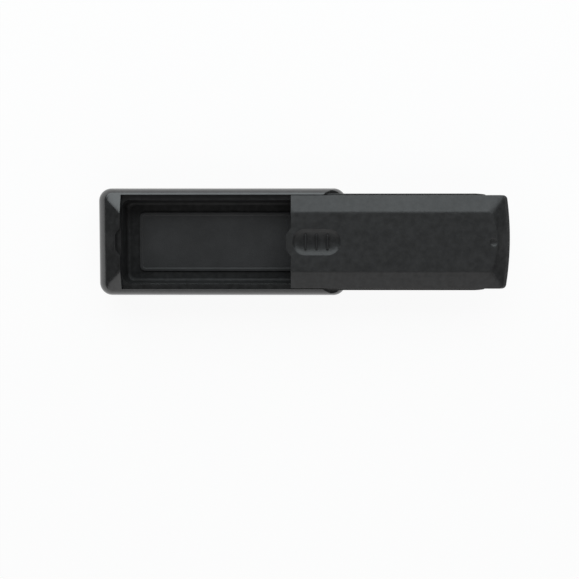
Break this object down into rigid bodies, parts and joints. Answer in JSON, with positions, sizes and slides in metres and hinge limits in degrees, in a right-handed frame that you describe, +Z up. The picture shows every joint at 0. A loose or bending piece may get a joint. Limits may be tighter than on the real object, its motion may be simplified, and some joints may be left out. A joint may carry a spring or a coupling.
{
  "type": "magnetic key holder box",
  "caption": "Flat black moulded key case with a sliding crowned lid, a finger scoop and magnets set under its floor, shown slid open.",
  "frame": {"origin": "middle of the case's underside, on the rest face", "axes": "+X towards the end where the lid slides out, +Y to the rear side, +Z up, out of the case's open top"},
  "size_m": [0.2198, 0.0576, 0.0256],
  "materials": {
    "case_plastic": "satin moulded black plastic",
    "lid_plastic": "satin moulded black plastic with a fine grain on the flat top",
    "ferrite": "sintered and ground, dark grey",
    "pole_steel": "zinc plated, satin",
    "adhesive": "soft acrylic foam",
    "liner": "thin embossed sheet"
  },
  "bodies": {
    "case": {"case_tray": "case_plastic", "magnet_left": "ferrite", "magnet_right": "ferrite", "pole_plate_left_rear": "pole_steel", "pole_plate_left_front": "pole_steel", "pole_plate_right_rear": "pole_steel", "pole_plate_right_front": "pole_steel", "adhesive_pad_left": "adhesive", "adhesive_pad_right": "adhesive", "floor_liner": "liner"},
    "lid": {"sliding_lid": "lid_plastic"}
  },
  "joints": [
    {"name": "lid_slide", "type": "slide", "parent": "case", "child": "lid", "axis": [1, 0, 0], "range_m": [-0.09, 0]}
  ]
}
